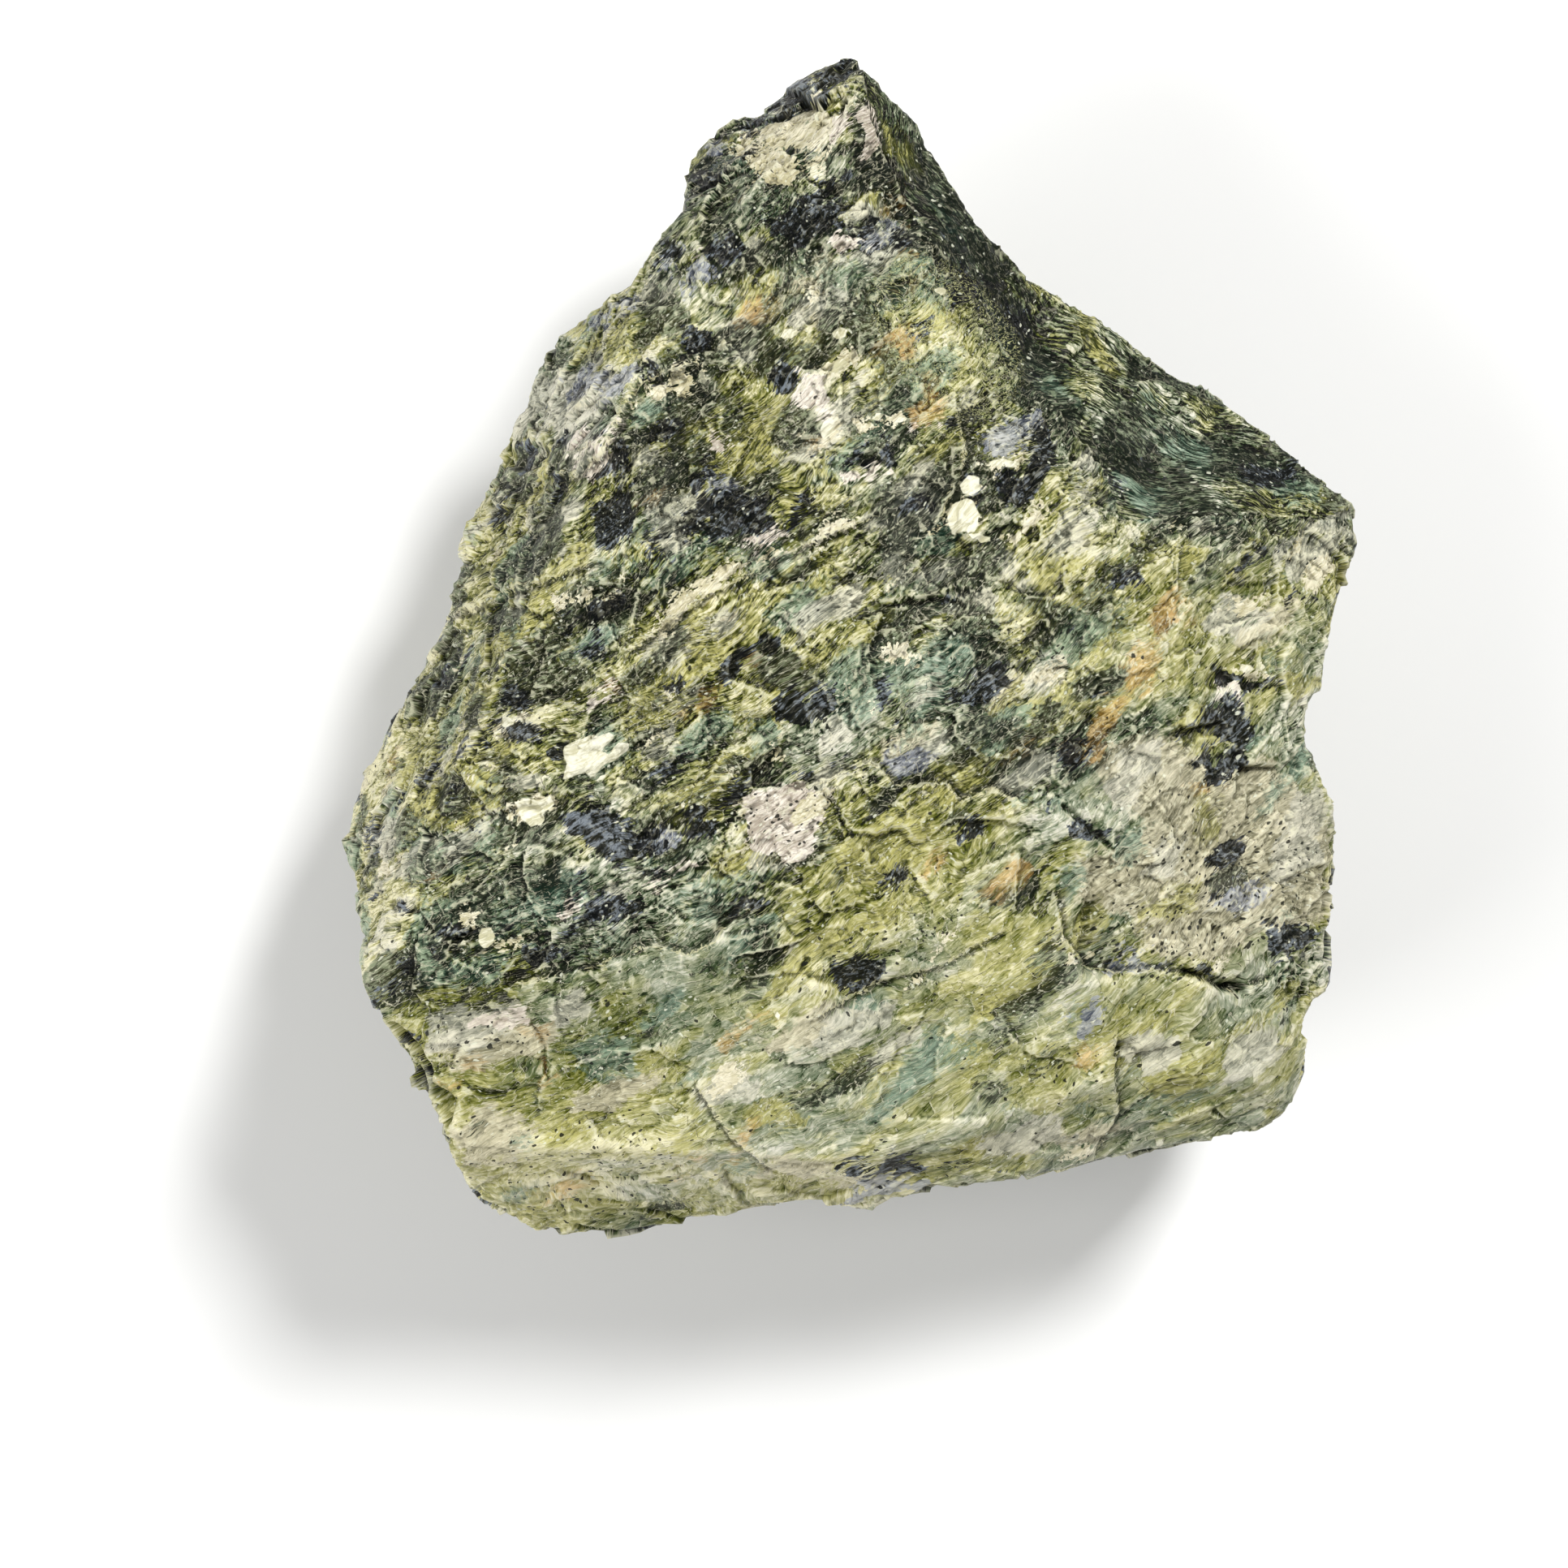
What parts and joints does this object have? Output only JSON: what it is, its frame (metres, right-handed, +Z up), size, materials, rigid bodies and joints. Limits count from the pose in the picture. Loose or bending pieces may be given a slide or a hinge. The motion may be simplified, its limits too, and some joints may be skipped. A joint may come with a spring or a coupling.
{
  "type": "raw serpentine stone",
  "caption": "Rough broken serpentine stone with a blunt tip, a broad mottled green and cream face, stepped fracture edges and a flat side to rest on.",
  "frame": {"origin": "under the middle of the stone's bounding box, on the flat side that it rests on", "axes": "+Z up from the resting side to the broad face, +Y along the broad face from the foot to the tip, +X across the broad face to the corner of its dark slope"},
  "size_m": [0.12, 0.139, 0.057],
  "materials": {
    "serpentine": "satin"
  },
  "bodies": {
    "root": {"serpentine_stone": "serpentine"}
  },
  "joints": []
}
